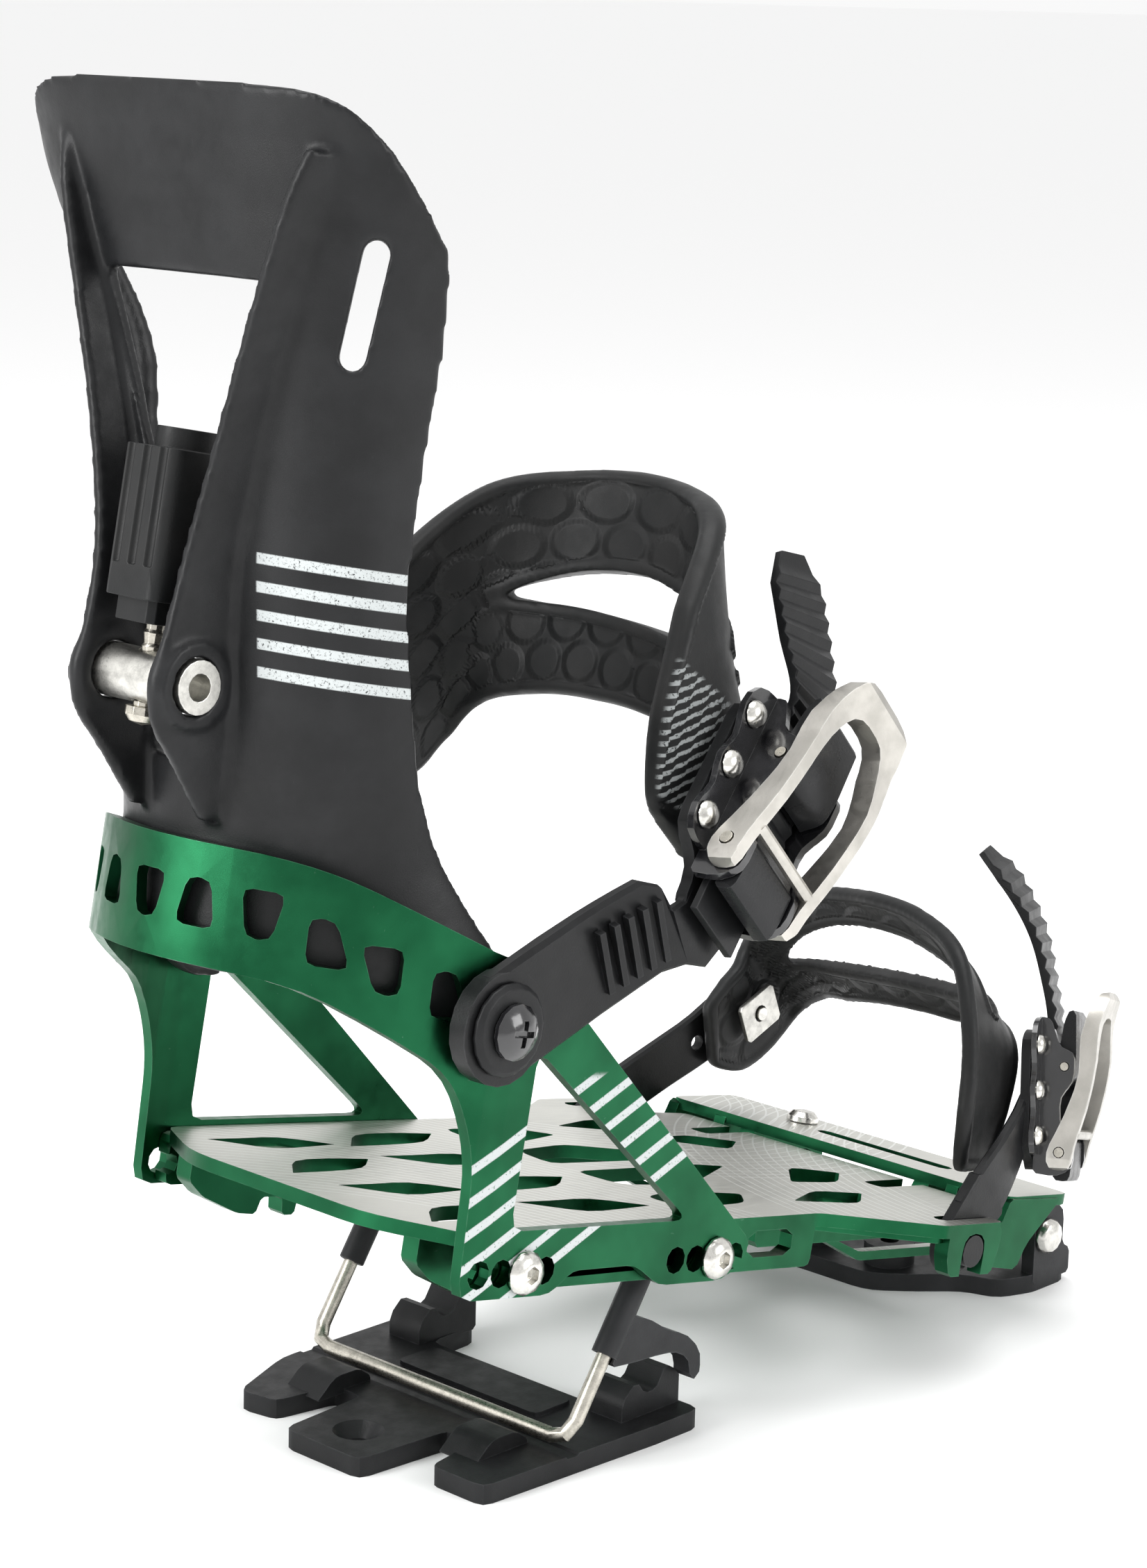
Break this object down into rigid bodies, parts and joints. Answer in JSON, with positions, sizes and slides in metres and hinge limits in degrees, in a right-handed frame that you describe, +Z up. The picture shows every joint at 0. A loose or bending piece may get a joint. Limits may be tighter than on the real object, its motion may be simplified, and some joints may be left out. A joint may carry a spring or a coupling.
{
  "type": "splitboard touring binding",
  "caption": "Splitboard touring binding: slotted aluminium deck and heel hoop, folding highback, two ratchet straps, climbing wire and board mounts.",
  "frame": {"origin": "on the board surface, straight below the middle of the toe pins, at the underside of the toe bracket", "axes": "+X towards the toe, +Y to the medial side, +Z up from the board"},
  "size_m": [0.3043, 0.151, 0.3219],
  "materials": {
    "green_anodised": "satin green anodised, raw machined faces",
    "stainless": "polished",
    "wire_steel": "satin",
    "raw_aluminium": "satin",
    "lever_silver": "satin",
    "gloss_black": "gloss",
    "moulded_black": "fine moulded grain",
    "strap_black": "satin",
    "soft_pad": "soft matt",
    "grey_plastic": "satin",
    "grey_sleeve": "matt"
  },
  "bodies": {
    "board_mounts": {"tour_bracket": "moulded_black", "toe_pin_medial": "stainless", "toe_pin_lateral": "stainless", "heel_rest": "moulded_black"},
    "base_frame": {"baseplate": "green_anodised", "heel_hoop": "green_anodised", "ramp_axle_medial": "wire_steel", "ramp_axle_lateral": "wire_steel", "plate_screw_rear_medial": "stainless", "plate_screw_rear_lateral": "stainless", "plate_screw_front_medial": "stainless", "plate_screw_front_lateral": "stainless", "ankle_bolt_lateral": "gloss_black", "ankle_bolt_medial": "gloss_black", "ankle_washer_lateral": "moulded_black", "ankle_washer_medial": "moulded_black"},
    "front_ramp": {"snap_ramp": "green_anodised", "ramp_stop_screw": "stainless"},
    "riser_wire": {"climbing_wire": "wire_steel", "wire_sleeve_medial": "grey_sleeve", "wire_sleeve_lateral": "grey_sleeve"},
    "back": {"highback": "moulded_black"},
    "lean_adjuster": {"lean_barrel": "raw_aluminium", "lean_rod": "wire_steel", "lean_block": "soft_pad"},
    "ankle_strap": {"ankle_extender": "strap_black", "ankle_ladder": "strap_black", "ankle_pad": "soft_pad", "ankle_medial_strap": "strap_black", "ankle_buckle_base": "gloss_black", "ankle_rivet_low": "stainless", "ankle_rivet_middle": "stainless", "ankle_rivet_high": "stainless", "ankle_lever_pin": "wire_steel", "ankle_pawl_pin": "wire_steel", "ankle_buckle_block": "grey_plastic"},
    "ankle_strap_lever": {"ankle_lever": "lever_silver"},
    "ankle_strap_pawl": {"ankle_pawl": "grey_plastic"},
    "toe_strap": {"toe_lateral_strap": "strap_black", "toe_medial_strap": "strap_black", "toe_band": "soft_pad", "toe_nut_plate": "raw_aluminium", "toe_nut_screw": "stainless", "toe_ladder": "strap_black", "toe_buckle_base": "gloss_black", "toe_rivet_low": "stainless", "toe_rivet_middle": "stainless", "toe_rivet_high": "stainless", "toe_lever_pin": "wire_steel", "toe_pawl_pin": "wire_steel", "toe_buckle_block": "grey_plastic"},
    "toe_strap_lever": {"toe_lever": "lever_silver"},
    "toe_strap_pawl": {"toe_pawl": "grey_plastic"}
  },
  "joints": [
    {"name": "toe_pivot", "type": "hinge", "parent": "board_mounts", "child": "base_frame", "pos_m": [0, 0, 0.0152], "axis": [0, 1, 0], "range_deg": [0, 90]},
    {"name": "ramp_snap", "type": "hinge", "parent": "base_frame", "child": "front_ramp", "pos_m": [-0.05106, 0, 0.03033], "axis": [0, -1, 0], "range_deg": [0, 4.5]},
    {"name": "wire_swing", "type": "hinge", "parent": "base_frame", "child": "riser_wire", "pos_m": [-0.15768, 0, 0.05045], "axis": [0, 1, 0], "range_deg": [0, 53]},
    {"name": "back_fold", "type": "hinge", "parent": "base_frame", "child": "back", "pos_m": [-0.22781, 0, 0.12099], "axis": [0, 1, 0], "range_deg": [0, 40]},
    {"name": "lean_flip", "type": "hinge", "parent": "back", "child": "lean_adjuster", "pos_m": [-0.27714, 0, 0.19587], "axis": [0, -1, 0], "range_deg": [0, 165]},
    {"name": "ankle_strap_swing", "type": "hinge", "parent": "base_frame", "child": "ankle_strap", "pos_m": [-0.22781, 0, 0.12099], "axis": [0, 1, 0], "range_deg": [-15, 30]},
    {"name": "ankle_lever_lift", "type": "hinge", "parent": "ankle_strap", "child": "ankle_strap_lever", "pos_m": [-0.15996, -0.07377, 0.14527], "axis": [0.67, -0.0045, -0.7424], "range_deg": [0, 55], "stiffness_Nm_per_rad": 0.05, "springref_deg": -17.19},
    {"name": "ankle_pawl_press", "type": "hinge", "parent": "ankle_strap", "child": "ankle_strap_pawl", "pos_m": [-0.13942, -0.0693, 0.16378], "axis": [-0.67, 0.0045, 0.7424], "range_deg": [0, 10], "stiffness_Nm_per_rad": 0.05, "springref_deg": -17.19},
    {"name": "toe_strap_swing", "type": "hinge", "parent": "base_frame", "child": "toe_strap", "pos_m": [-0.06583, 0, 0.03297], "axis": [0, -1, 0], "range_deg": [0, 35]},
    {"name": "toe_lever_lift", "type": "hinge", "parent": "toe_strap", "child": "toe_strap_lever", "pos_m": [-0.01627, -0.06356, 0.04636], "axis": [0.8694, 0.3967, -0.2945], "range_deg": [0, 55], "stiffness_Nm_per_rad": 0.03, "springref_deg": -17.19},
    {"name": "toe_pawl_press", "type": "hinge", "parent": "toe_strap", "child": "toe_strap_pawl", "pos_m": [-0.01091, -0.05946, 0.06772], "axis": [-0.8694, -0.3967, 0.2945], "range_deg": [0, 8], "stiffness_Nm_per_rad": 0.03, "springref_deg": -17.19}
  ]
}
